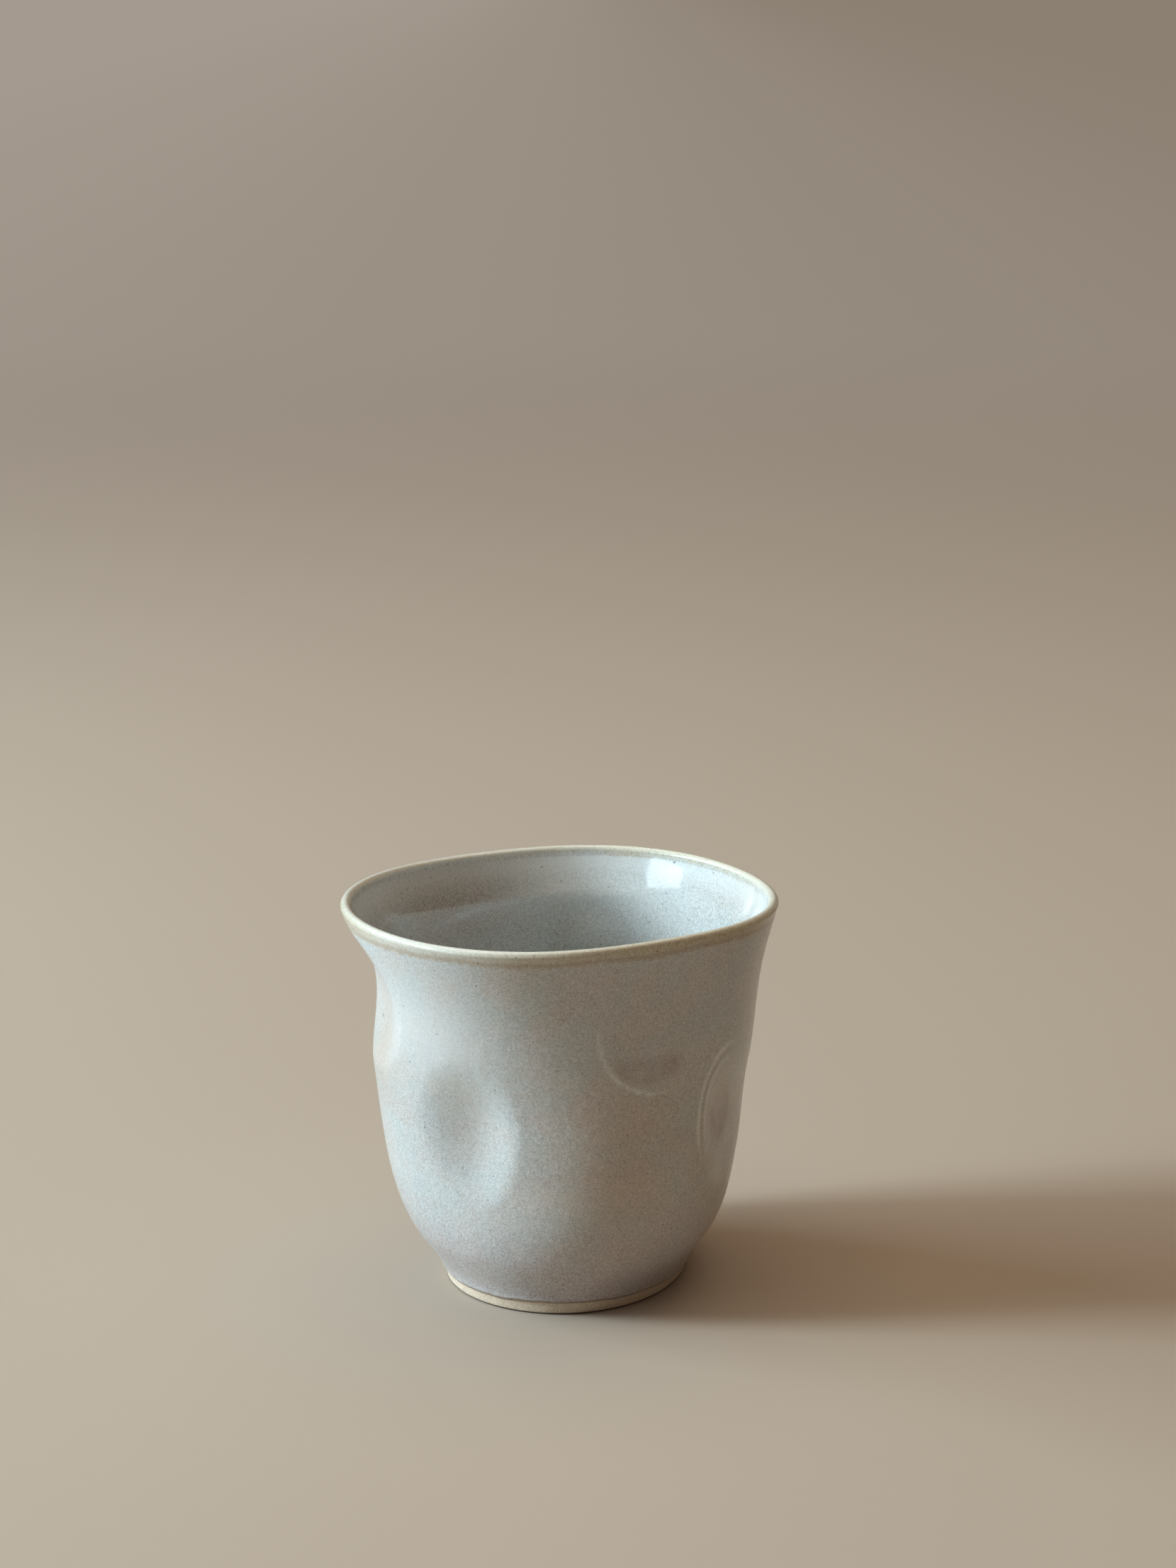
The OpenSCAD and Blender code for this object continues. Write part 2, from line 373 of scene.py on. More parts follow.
    def bowl_points(self, turn: Array, angle: Array, under: float) -> Array:
        """Points on the rounded bottom: a fuller ellipse from the wall (0) to the middle (pi/2)."""
        z = self.bowl_top - self.bowl_height * np.sin(turn) ** (2 / self.fullness)
        shrink = np.maximum(np.cos(turn), 0) ** (2 / self.fullness)
        radius = (self.outside(z + 0 * angle, angle) - self.wall(z)) * shrink
        return self.leant(radius + under * np.cos(turn), angle, z - under * np.sin(turn), z)

    def bare_edge(self, angle: Array) -> Array:
        """Height where the outer glaze ends over the foot, with small runs in it."""
        runs = sum(rise * np.sin(count * angle + shift) for rise, count, shift in self.runs)
        return self.bare_height + self.wander * np.sin(3 * angle) + runs

    def band_edge(self, angle: Array) -> Array:
        """Height of the lip coat's edge outside."""
        return self.height - self.lip_band + self.wander * np.sin(4 * angle)

    def band_inside_edge(self, angle: Array) -> Array:
        """Height of the lip coat's edge inside."""
        return self.height - self.lip_band_inside - self.wander * np.cos(4 * angle)


# The painted warm shade's mark isn't named flame, because that name had no effect.
MARKS = ("hem", "thin", "stain", "warmth", "milk")


@dataclass
class Sheet:
    """A sheet of points in rows round the cup, with a reach and other marks for each point.

    The reach is the distance in millimetres from the lip's crest along the surface, positive
    outside and negative inside. The other marks are named in MARKS, and 0 where not given.
    """

    points: Array
    reach: Array
    side: Side = Side.OUTWARD
    marks: dict[str, Array] = field(default_factory=dict)

    def tail(self) -> "Sheet":
        """The rows after the first, facing outwards and with no marks but the reach."""
        return Sheet(self.points[1:], self.reach[1:])


@dataclass
class MeshBuilder:
    """Collects sheets, strips and poles of one closed piece, and makes its mesh.

    Edges that turn by more than `sharp` degrees are drawn sharp.
    """

    name: str
    points: list[Array] = field(default_factory=list)
    marks: list[Array] = field(default_factory=list)
    faces: list[list[int]] = field(default_factory=list)
    count: int = 0
    sharp: float = 50.0

    def add(self, sheet: Sheet) -> int:
        """Adds a sheet's points and marks, and returns the index of the first point."""
        start = self.count
        flat = sheet.points.reshape(-1, 3)
        self.points.append(flat)
        values = [sheet.reach, *(sheet.marks.get(name, np.zeros(1)) for name in MARKS)]
        shape = sheet.points.shape[:-1]
        full = [np.broadcast_to(value, shape).reshape(-1) for value in values]
        self.marks.append(np.stack(full))
        self.count += len(flat)
        return start

    def strip(self, first: Array, second: Array) -> None:
        """Adds the quads between closed rows: first, first's next, second's next, second."""
        quads = np.stack([first, np.roll(first, -1, -1), np.roll(second, -1, -1), second], -1)
        self.faces += quads.reshape(-1, 4).tolist()

    def sheet(self, sheet: Sheet) -> Array:
        """Adds a sheet's points and faces.

        Args:
            sheet: Rows of points that run up the outside or down the inside.

        Returns:
            The indices of its points, row by row.
        """
        rows, cols = sheet.points.shape[:2]
        start = self.add(sheet)
        index = start + np.arange(rows * cols).reshape(rows, cols)
        if sheet.side is Side.OUTWARD:
            self.strip(index[:-1], index[1:])
        else:
            self.strip(index[1:], index[:-1])
        return index

    def pole(self, row: Array, point: Array, reach: float, closing: bool) -> None:
        """Closes a row with a fan to one point, facing on from the row or back to it."""
        centre = np.full_like(row, self.add(Sheet(point.reshape(1, 3), np.array([reach]))))
        after = np.roll(row, -1)
        fan = np.stack([row, after, centre] if closing else [after, row, centre], -1)
        self.faces += fan.tolist()

    def finish(self, material: Material, slot: str, nodes: tuple[str, ...]) -> Object:
        """Makes the mesh, dresses it, and sets it in the frame.

        Args:
            material: The finish.
            slot: Not used.
            nodes: The solids that this piece stands for.

        Returns:
            The new object.
        """
        mesh = bpy.data.meshes.new(self.name)
        mesh.from_pydata(np.concatenate(self.points) * MM, [], self.faces)
        mesh.polygons.foreach_set("use_smooth", np.ones(len(mesh.polygons), bool))
        for name, values in zip(("reach", *MARKS), np.concatenate(self.marks, 1)):
            mark = mesh.attributes.new(name, "FLOAT", "POINT")
            mark.data.foreach_set("value", values.astype(np.float32))
        mesh.set_sharp_from_angle(angle=math.radians(self.sharp))
        mesh.materials.append(material)
        mesh.validate()
        piece = bpy.data.objects.new(self.name, mesh)
        bpy.context.scene.collection.objects.link(piece)
        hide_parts(*nodes)
        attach(piece, "root")
        log.info("%s: %d faces", self.name, len(mesh.polygons))
        return piece


def linear(screen: Screen) -> tuple[float, float, float, float]:
    """A colour written as 0 to 255 on a screen, as the light that it stands for."""
    parts = np.array(screen) / 255
    light = np.where(parts <= 0.04045, parts / 12.92, ((parts + 0.055) / 1.055) ** 2.4)
    return (*map(float, light), 1.0)


@dataclass(frozen=True)
class Span:
    """A smooth, clamped change of range: `low` turns into `to_low` and `high` into `to_high`."""

    low: float
    high: float
    to_low: float = 0.0
    to_high: float = 1.0

    def to(self, full: float) -> "Span":
        """The same change of range with `high` turned into `full`."""
        return replace(self, to_high=full)


@dataclass(frozen=True)
class Noise:
    """Noise in object space, about 0.5 on average.

    `grain` is the size of one grain in metres, `detail` the octaves, `rough` how strong the finer
    octaves are and `spread` the distortion.
    """

    grain: float
    detail: float = 2.0
    rough: float = 0.5
    spread: float = 0.0


# Noise lies mostly between these two.
MIDDLE = Span(0.3, 0.7)
# The least share of `size` in a speck's radius, and the soft edge of a speck in radii.
SPECK_LEAST = 0.35
SPECK_EDGE = Span(1.0, 0.6)
# The scale that stretches the rings' noise sideways.
RING_SCALE = (0.15, 0.15, 1.0)
# A Mix node's factor and value inputs, and its output, for colours and for numbers.
COLOUR_PLACES, COLOUR_OUT = (0, 6, 7), 2
NUMBER_PLACES, NUMBER_OUT = (0, 2, 3), 0


@dataclass
class Links:
    """A short hand for building one material's nodes."""

    tree: NodeTree

    def node(self, kind: str, feeds: dict | None = None, **settings: object) -> Node:
        """Adds a node with what goes into its sockets, by name or place, and its settings."""
        made = self.tree.nodes.new("ShaderNode" + kind)
        for name, value in settings.items():
            setattr(made, name, value)
        self.feed(made, feeds or {})
        return made

    def feed(self, node: Node, feeds: dict) -> None:
        """Links outputs to a node's sockets, or writes plain values on them."""
        for name, value in feeds.items():
            if isinstance(value, Socket):
                self.tree.links.new(value, node.inputs[name])
            else:
                node.inputs[name].default_value = value

    def place(self) -> Socket:
        """Object coordinates."""
        return self.node("TexCoord").outputs["Object"]

    def coordinate(self, axis: str) -> Socket:
        """One of the object coordinates, X, Y or Z, in metres."""
        return self.node("SeparateXYZ", {0: self.place()}).outputs[axis]

    def mark(self, name: str) -> Socket:
        """One of the marks on the mesh: the reach or one of MARKS."""
        return self.node("Attribute", attribute_name=name).outputs["Fac"]

    def noise(self, noise: Noise, squashed: bool = False) -> Socket:
        """The value of a noise, which is stretched sideways into rings when squashed."""
        place = self.place()
        if squashed:
            flat = self.node("Mapping", {"Vector": place, "Scale": RING_SCALE})
            place = flat.outputs["Vector"]
        return self.node("TexNoise", {
            "Vector": place, "Scale": 1 / noise.grain, "Detail": noise.detail,
            "Roughness": noise.rough, "Distortion": noise.spread,
        }).outputs["Fac"]

    def mottle(self, noise: Noise, span: Span) -> Socket:
        """A noise drawn out over a range."""
        return self.remap(self.noise(noise), span)

    def wobble(self, noise: Noise, strength: float) -> Socket:
        """A noise about 0: (noise - 0.5) times a strength."""
        return self.times(self.maths("SUBTRACT", self.noise(noise), 0.5), strength)

    def specks(self, spacing: float, size: float, kept: float, strength: float) -> Socket:
        """How far specks show: their strength inside a speck and 0 outside it.

        Args:
            spacing: Mean distance in metres between the places where a speck may be.
            size: Its radius as a share of that, times SPECK_LEAST plus a random share.
            kept: Share of the places that hold a speck.
            strength: How far its colour shows.

        Returns:
            The mask.
        """
        feeds = {"Vector": self.place(), "Scale": 1 / spacing}
        cells = self.node("TexVoronoi", feeds, feature="F1")
        chance = self.node("SeparateColor", {"Color": cells.outputs["Color"]})
        holds = self.maths("LESS_THAN", chance.outputs["Red"], kept)
        radius = self.times(chance.outputs["Green"], size)
        radius = self.plus(radius, size * SPECK_LEAST)
        near = self.maths("DIVIDE", cells.outputs["Distance"], radius)
        inside = self.times(self.remap(near, SPECK_EDGE), holds)
        return self.times(inside, strength)

    def maths(self, operation: str, first: object, second: object) -> Socket:
        """One Math node."""
        feeds = {0: first, 1: second}
        return self.node("Math", feeds, operation=operation).outputs[0]

    def times(self, first: object, second: object) -> Socket:
        """The product of two values."""
        return self.maths("MULTIPLY", first, second)

    def plus(self, first: object, second: object) -> Socket:
        """The sum of two values."""
        return self.maths("ADD", first, second)

    def remap(self, value: object, span: Span) -> Socket:
        """A smooth, clamped change of range."""
        return self.node("MapRange", {
            "Value": value, "From Min": span.low, "From Max": span.high,
            "To Min": span.to_low, "To Max": span.to_high,
        }, interpolation_type="SMOOTHSTEP", clamp=True).outputs["Result"]

    def between(self, value: object, first: Span, second: Span) -> Socket:
        """Where two changes of range of one value overlap: their product."""
        return self.times(self.remap(value, first), self.remap(value, second))

    def mix(self, factor: object, first: object, second: object, blend: str = "MIX") -> Socket:
        """Mixes two colours."""
        feeds = dict(zip(COLOUR_PLACES, (factor, first, second)))
        made = self.node("Mix", feeds, data_type="RGBA", blend_type=blend)
        return made.outputs[COLOUR_OUT]

    def tint(self, body: Socket, share: object, screen: Screen) -> Socket:
        """Mixes a share of a screen colour into a colour."""
        return self.mix(share, body, linear(screen))

    def seen_by(self, *rays: str) -> Socket:
        """1 for rays of any of the named kinds and 0 for others."""
        path = self.node("LightPath").outputs
        return reduce(self.plus, (path[ray] for ray in rays))

    def mix_shaders(self, factor: Socket, first: Socket, second: Socket) -> Socket:
        """Mixes two shaders."""
        feeds = {0: factor, 1: first, 2: second}
        return self.node("MixShader", feeds).outputs[0]

    def bump(self, *layers: tuple[object, float]) -> Socket:
        """The normal of a chain of bumps, each a height from 0 to 1 and a depth in metres."""
        normal = {}
        for height, depth in layers:
            feeds = {"Strength": 1.0, "Distance": depth, "Height": height, **normal}
            normal = {"Normal": self.node("Bump", feeds).outputs["Normal"]}
        return normal["Normal"]


def new_material(name: str) -> tuple[Material, Links, Node]:
    """A new material, its links and its main shader."""
    material = bpy.data.materials.new(name)
    material.use_nodes = True
    tree = material.node_tree
    return material, Links(tree), tree.nodes["Principled BSDF"]


# The glaze's noises and spans. Those of the reach and the hem are in millimetres, as these marks
# are, and those of a coordinate in metres.
FINE_GRAIN = (Noise(0.0003, 2, 0.55), MIDDLE)
SOFT_GRAIN = (Noise(0.0008, 3, 0.7), MIDDLE)
GRAIN_PARTS = (0.7, 0.3)
PINS = (Noise(0.00042, 1), Span(0.60, 0.74))
CLOUDS = (Noise(0.008, 3, 0.6, 0.4), Span(0.35, 0.65))
BANDS = (Noise(0.007), Span(0.45, 0.7))
LOW_DOWN = Span(0.028, 0.006)
PATCHES = (Noise(0.017, 2, 0.5, 0.8), Span(0.5, 0.72, 0.0, 0.15))
MOTTLED = (Noise(0.0022, 3, 0.7), Span(0.25, 0.7, 0.55, 1.0))
# Painted light: the inside drawn paler just under the lip, leaving the deeper inside darker.
UNDER_LIP = Span(-10.0, -3.0)
STAIN_MOTTLE = (Noise(0.005), Span(0.3, 0.65, 0.45, 1.0))
LINE_BREAKS = (Noise(0.0012, 3, 0.6), Span(0.3, 0.6, 0.35, 1.0))
LINE_FULL = Span(0.0, 0.9)
GROOVE_FULL = Span(0.0, -0.6, 0.0, 0.3)
CREST_OUTSIDE = Span(1.5, 0.4, 0.0, 0.62)
CREST_INSIDE = Span(-2.2, -0.9)
CREST_GRAIN = 0.75
# Painted light: the lip drawn paler towards its lit left end, by X in metres.
PAINTED_LIGHT_LEFT = Span(0.018, -0.030, 0.0, 0.42)
PAINTED_LIGHT_ENDS = Span(-0.045, -0.034, 0.2, 1.0)
RAGGED = (Noise(0.0007, 4, 0.7), 2.4)
DRIFT = (Noise(0.011, 1), 1.6)
BREAK_OUTSIDE = Span(4.6, 1.4)
BREAK_INSIDE = Span(2.8, 0.8)
FRINGE_OUTSIDE = Span(1.2, 2.4, 0.0, 0.5)
FRINGE_BEGINS = Span(0.02, 0.3)
FRINGE_ENDS = Span(0.85, 0.4)
HEM_UNEVEN = (Noise(0.0009, 3, 0.7), 0.9)
HEM_LOW = Span(0.9, 0.1)
FINE_SPECKS = (0.0016, 0.12, 0.7, 0.55)
BOLD_SPECKS = (0.0055, 0.06, 0.5, 0.8)
SATIN = Noise(0.004)
SATIN_LIMITS = (0.88, 1.15)
RIPPLES = Noise(0.0022)
PITS = Noise(0.00042, 2, 0.6)
PIT_DEPTH = 0.16


@dataclass(frozen=True)
class GlazeFinish:
    """A pale speckled glaze that breaks to ochre over the lip."""

    name: str
    pale: Screen
    cool: Screen
    warm: Screen
    blush: Screen
    blush_share: float
    speck: Screen
    roughness: float
    roughness_lip: float
    peel: float
    coat_weight: float
    coat_roughness: float
    coat_ior: float = 1.5
    ior: float = 1.5
    ochre: Screen = (222, 220, 203)
    ochre_deep: Screen = (166, 151, 112)
    # Rust in the stains; also painted shade in the right-hand dent's hollow and in the grooves.
    rust_and_shade: Screen = (138, 113, 98)
    # Pale lines of thinner glaze with a painted highlight, and painted light on the lip's lit end.
    line: Screen = (232, 236, 234)
    hem: Screen = (134, 106, 78)
    # The tint of the painted warm shade, multiplied in.
    shade_tint: Screen = (243, 226, 213)
    fringe: Screen = (164, 138, 104)
    grain_share: float = 0.66
    pin_share: float = 0.5
    hem_share: float = 0.0
    # Painted light: how far the glaze is drawn paler just under the lip inside, and in the lit
    # patches.
    painted_light_under_lip: float = 0.0
    painted_light_share: float = 0.42
    band_share: float = 0.1

    def ochre_share(self, links: Links) -> Socket:
        """How far the ochre shows: full at the crest, gone past a ragged edge."""
        reach = links.mark("reach")
        shift = links.plus(links.wobble(*RAGGED), links.wobble(*DRIFT))
        out = links.plus(reach, shift)
        inward = links.plus(links.times(reach, -1.0), shift)
        return links.times(links.remap(out, BREAK_OUTSIDE), links.remap(inward, BREAK_INSIDE))

    def grain(self, links: Links) -> Socket:
        """Fine grain, with dark pin marks in it: 0 where the clay shows dark and 1 where pale."""
        fine = links.times(links.mottle(*FINE_GRAIN), GRAIN_PARTS[0])
        soft = links.times(links.mottle(*SOFT_GRAIN), GRAIN_PARTS[1])
        noise, edge = PINS
        pins = links.mottle(noise, edge.to(self.pin_share))
        return links.maths("SUBTRACT", links.plus(fine, soft), pins)

    def body(self, links: Links, grain: Socket) -> Socket:
        """The glaze below the lip: clouds, rings, blush and grain, with painted light under the lip
        and in patches, and patches of painted warm shade.
        """
        body = links.mix(links.mottle(*CLOUDS), linear(self.cool), linear(self.warm))
        noise, edge = BANDS
        rings = links.remap(links.noise(noise, squashed=True), edge.to(self.band_share))
        body = links.tint(body, rings, self.blush)
        low = links.remap(links.coordinate("Z"), LOW_DOWN)
        patches = links.maths("MAXIMUM", low, links.mottle(*PATCHES))
        blush = links.times(patches, links.mottle(*MOTTLED))
        body = links.tint(body, links.times(blush, self.blush_share), self.blush)
        # Painted light: paler just under the lip inside, and in the lit patches.
        rise = links.remap(links.mark("reach"), UNDER_LIP.to(self.painted_light_under_lip))
        milk = links.times(links.mark("milk"), self.painted_light_share)
        body = links.tint(body, links.maths("MAXIMUM", rise, milk), self.pale)
        body = links.tint(body, links.times(grain, self.grain_share), self.pale)
        # Painted warm shade: the colour is multiplied by a warm tint where the mark is.
        shaded = links.mix(1.0, body, linear(self.shade_tint), "MULTIPLY")
        return links.mix(links.mark("warmth"), body, shaded)

    def dents(self, links: Links, body: Socket) -> Socket:
        """Adds what the presses leave: rusty stains, with painted shade in the right-hand dent,
        pale lines of thinner glaze with a painted highlight, and dark grooves of painted shade.
        """
        # Rusty stains, which in the right-hand dent are painted shade in the hollow as well.
        rust_and_shade = links.times(links.mark("stain"), links.mottle(*STAIN_MOTTLE))
        body = links.tint(body, rust_and_shade, self.rust_and_shade)
        # Pale lines of thinner glaze with a painted highlight, and a groove of painted shade.
        thin = links.mark("thin")
        lines = links.times(links.remap(thin, LINE_FULL), links.mottle(*LINE_BREAKS))
        body = links.tint(body, lines, self.line)
        return links.tint(body, links.remap(thin, GROOVE_FULL), self.rust_and_shade)

    def lip(self, links: Links, body: Socket, grain: Socket) -> Socket:
        """Adds the ochre over the lip, with painted light making it paler at its lit left end, and
        the fringe below it.
        """
        reach = links.mark("reach")
        crest = links.between(reach, CREST_OUTSIDE, CREST_INSIDE)
        worn = links.plus(crest, links.times(grain, CREST_GRAIN))
        ochre = links.mix(worn, linear(self.ochre_deep), linear(self.ochre))
        # Painted light: here thick is the lip drawn paler towards its lit left end.
        thick = links.between(links.coordinate("X"), PAINTED_LIGHT_LEFT, PAINTED_LIGHT_ENDS)
        ochre = links.tint(ochre, thick, self.line)
        share = self.ochre_share(links)
        body = links.mix(share, body, ochre)
        fringe = links.between(share, FRINGE_BEGINS, FRINGE_ENDS)
        outside = links.remap(reach, FRINGE_OUTSIDE)
        return links.tint(body, links.times(fringe, outside), self.fringe)

    def colour(self, links: Links) -> Socket:
        """The whole colour: body, dents and lip, then the hem at the lower edge and specks."""
        grain = self.grain(links)
        body = self.lip(links, self.dents(links, self.body(links, grain)), grain)
        hem = links.plus(links.mark("hem"), links.wobble(*HEM_UNEVEN))
        body = links.tint(body, links.remap(hem, HEM_LOW.to(self.hem_share)), self.hem)
        specks = links.maths("MAXIMUM", links.specks(*FINE_SPECKS), links.specks(*BOLD_SPECKS))
        return links.tint(body, specks, self.speck)

    def build(self) -> Material:
        """Makes the material.

        Returns:
            The new material.
        """
        material, links, shader = new_material(self.name)
        limits = (self.roughness * limit for limit in SATIN_LIMITS)
        satin = links.mottle(SATIN, Span(MIDDLE.low, MIDDLE.high, *limits))
        values = (self.ochre_share(links), satin, self.roughness_lip)
        rough = links.node("Mix", dict(zip(NUMBER_PLACES, values)), data_type="FLOAT")
        links.feed(shader, {
            "Base Color": self.colour(links), "Roughness": rough.outputs[NUMBER_OUT],
            "IOR": self.ior, "Coat Weight": self.coat_weight,
            "Coat Roughness": self.coat_roughness, "Coat IOR": self.coat_ior,
            "Normal": links.bump((links.noise(RIPPLES), self.peel),
                                 (links.noise(PITS), self.peel * PIT_DEPTH)),
        })
        return material


# The same for the clay.
CLAY_GRAIN = (Noise(0.0003, 3, 0.6), MIDDLE)
CLAY_STAIN = (Noise(0.009, 3, 0.6), Span(0.4, 0.75, 0.0, 0.35))
TOAST = Span(0.0016, 0.0029, 0.0, 0.4)
# Painted shade: a dark contact line on the foot's lowest half millimetre, where it meets the table.
CONTACT_SHADE_BEGINS = Span(0.00001, 0.00004, 0.0, 0.92)
CONTACT_SHADE_ENDS = Span(0.0005, 0.0003)
GROG = (0.0013, 0.16, 0.35, 0.6)
RUBBED = Noise(0.002)
RELIEF = Noise(0.0012, 3, 0.6)


@dataclass(frozen=True)
class ClayFinish:
    """Bare cream stoneware with fine grog, toasted under the glaze, painted shade at the table."""

    name: str = "bare_stoneware"
    light: Screen = (240, 224, 204)
    dark: Screen = (206, 188, 163)
    grog: Screen = (104, 82, 58)
    # The colour of the painted contact shadow.
    contact_shade: Screen = (52, 42, 33)
    roughness: float = 0.82
    roughness_play: float = 0.08
    relief_depth: float = 0.00010
    grain_depth: float = 0.00005

    def build(self) -> Material:
        """Makes the material.

        Returns:
            The new material.
        """
        material, links, shader = new_material(self.name)
        grain = links.mottle(*CLAY_GRAIN)
        body = links.mix(grain, linear(self.dark), linear(self.light))
        body = links.tint(body, links.mottle(*CLAY_STAIN), self.dark)
        height = links.coordinate("Z")
        body = links.tint(body, links.remap(height, TOAST), self.dark)
        # Painted shade: the foot darkened along its lowest edge, where it meets the table.
        contact_shade = links.between(height, CONTACT_SHADE_BEGINS, CONTACT_SHADE_ENDS)
        body = links.tint(body, contact_shade, self.contact_shade)
        limits = (self.roughness - self.roughness_play, self.roughness + self.roughness_play)
        links.feed(shader, {
            "Base Color": links.tint(body, links.specks(*GROG), self.grog),
            "Roughness": links.mottle(RUBBED, Span(MIDDLE.low, MIDDLE.high, *limits)),
            "Normal": links.bump((links.noise(RELIEF), self.relief_depth),
                                 (grain, self.grain_depth)),
        })
        return material


OUTER_FINISH = GlazeFinish(
    name="satin_outer_glaze", pale=(234, 238, 237), cool=(168, 176, 175), warm=(178, 173, 167),
    blush=(150, 130, 132), blush_share=0.85, speck=(96, 88, 78), roughness=0.32,
    roughness_lip=0.22, peel=0.00010, coat_weight=0.35, coat_roughness=0.25, hem_share=0.9)
LINER_FINISH = GlazeFinish(
    name="gloss_liner_glaze", pale=(232, 239, 238), cool=(152, 158, 153), warm=(162, 156, 149),
    blush=(136, 123, 114), blush_share=0.7, band_share=0.7, speck=(92, 90, 84), roughness=0.13,
    roughness_lip=0.2, peel=0.00005, coat_weight=0.8, coat_roughness=0.08, coat_ior=1.47,
    grain_share=0.76, pin_share=0.4, painted_light_under_lip=0.62, shade_tint=(230, 212, 200))
LIP_FINISH = replace(
    OUTER_FINISH, name="ochre_lip_glaze", blush=(176, 156, 150), blush_share=0.3,
    speck=(96, 84, 66), roughness_lip=0.26, peel=0.00008, coat_weight=0.6, coat_roughness=0.08,
    hem_share=0.0)


@dataclass(frozen=True)
class Rows:
    """A face's rows: on the outer wall and how gathered, by the lip, inside and in the bowl."""

    outer: int
    gather: float
    edge: int
    inner: int
    bowl: int


# Faces that show, and faces between clay and glaze. The lip's round is alike in both.
SHOWN = Rows(outer=230, gather=0.13, edge=9, inner=110, bowl=60)
HIDDEN = Rows(outer=50, gather=0.155, edge=5, inner=40, bowl=24)
INNER_GATHER = 0.12
LIP_ROWS = 25
# Rows under the foot: the recess from its first ring, its side, the ring, the edge, the band.
FIRST_RING = 0.02
RECESS_ROWS, SLOPE_ROWS, RING_ROWS, EDGE_ROWS, BAND_ROWS = 40, 6, 10, 7, 12


@dataclass
class Cup:
    """The whole cup: the clay and its three coats of glaze."""

    shape: CupShape = CupShape()
    columns: int = 320
    fit: float = 0.9985

    def __post_init__(self) -> None:
        """Sets the angles round the cup, one row that every sheet shares."""
        self.angle = np.linspace(0, FULL_TURN, self.columns, endpoint=False)[None]

    def fitted(self, points: Array) -> Array:
        """Draws the points in by a hair, so that the fine surface stays inside the solids' box."""
        return points * np.array([self.fit, self.fit, 1.0])

    def outer_reach(self, z: Array) -> Array:
        """Reach outside, below the round of the lip."""
        return self.shape.lip_half * math.pi / 2 + self.shape.lip_z - z

    def outer_rise(self, rows: Rows) -> Array:
        """Heights up the outer wall, from the glaze's lower edge to the lip coat's."""
        low, high = self.shape.bare_edge(self.angle), self.shape.band_edge(self.angle)
        return low + (high - low) * gathered(rows.outer, rows.gather)

    def outer_skin(self) -> Sheet:
        """The face of the outer glaze, with its bead: a quarter round, and a soft roll above."""
        shape = self.shape
        z = self.outer_rise(SHOWN)
        above = z - shape.bare_edge(self.angle)
        rise = np.clip(above / shape.bead_rise, 0, 1)
        thickness, height, width = shape.roll
        roll = thickness * bell(above, height, width)
        bead = shape.bead_least + (1 - shape.bead_least) * np.sqrt(1 - (1 - rise) ** 2)
        thick = shape.coat * bead + roll * rise
        points = shape.wall_points(z, self.angle, shape.coat - thick)
        marks = {"hem": above, **shape.marks(z, self.angle)}
        return Sheet(self.fitted(points), self.outer_reach(z), marks=marks)

    def outer_clay(self, side: Side) -> Sheet:
        """The clay's face under the outer glaze."""
        z = self.outer_rise(HIDDEN)
        points = self.shape.wall_points(z, self.angle, self.shape.coat)
        return Sheet(self.fitted(points), self.outer_reach(z), side)

    def lip_sheet(self, under: float, rows: Rows, side: Side) -> Sheet:
        """The lip from its outer edge over the round to its inner edge, under a depth of glaze."""
        shape, angle = self.shape, self.angle
        t = column(0, 1, rows.edge)
        down = shape.band_edge(angle) + (shape.lip_z - shape.band_edge(angle)) * t[:-1]
        turn = column(0, math.pi, LIP_ROWS)
        up = shape.lip_z + (shape.band_inside_edge(angle) - shape.lip_z) * t[1:]
        points = np.concatenate([
            shape.wall_points(down, angle, under),
            shape.lip_points(turn, angle + 0 * turn, under),
            shape.lining_points(up, angle, under),
        ])
        over = shape.lip_half * math.pi / 2 - shape.lip_half * turn + 0 * angle
        reach = np.concatenate([self.outer_reach(down), over, -self.outer_reach(up)])
        return Sheet(self.fitted(points), reach, side)

    def inner_sheet(self, under: float, rows: Rows, side: Side) -> Sheet:
        """The inside from the lip coat's edge to the last ring round the middle of the floor."""
        shape, angle = self.shape, self.angle
        edge = shape.band_inside_edge(angle)
        z = edge + (shape.bowl_top - edge) * gathered(rows.inner, INNER_GATHER)
        turn = column(0, math.pi / 2, rows.bowl + 1)[1:-1]
        points = np.concatenate([
            shape.lining_points(z, angle, under),
            shape.bowl_points(turn, angle + 0 * turn, under),
        ])
        z = points[..., 2]
        # Marks of painted light and painted warm shade on the inside.
        marks = {"milk": blooming(shape.painted_light_inside, z, angle),
                 "warmth": blooming(shape.warm_shade_inside, z, angle)}
        return Sheet(self.fitted(points), -self.outer_reach(z), side, marks)

    def floor_centre(self, under: float) -> Array:
        """The middle of the floor, under a depth of glaze."""
        centre = self.shape.bowl_points(np.array([[math.pi / 2]]), np.zeros((1, 1)), under)
        return self.fitted(centre)

    def build_coat(self, node: str, finish: GlazeFinish, skin: Sheet, clay: Sheet,
                   floored: bool = False) -> Object:
        """Builds a coat of glaze, closed between its face and the clay.

        Args:
            node: Its solid and its slot, from which the piece is named too.
            finish: Its finish.
            skin: Its face.
            clay: The clay's face.
            floored: Whether both end in a pole at the floor.

        Returns:
            The new object.
        """
        mesh = MeshBuilder(f"{node}_coat")
        face, under = mesh.sheet(skin), mesh.sheet(clay)
        mesh.strip(under[0], face[0])
        if floored:
            depth = -self.shape.height
            mesh.pole(face[-1], self.floor_centre(0.0), depth, True)
            mesh.pole(under[-1], self.floor_centre(self.shape.coat), depth, False)
        else:
            mesh.strip(face[-1], under[-1])
        return mesh.finish(finish.build(), node, (node,))

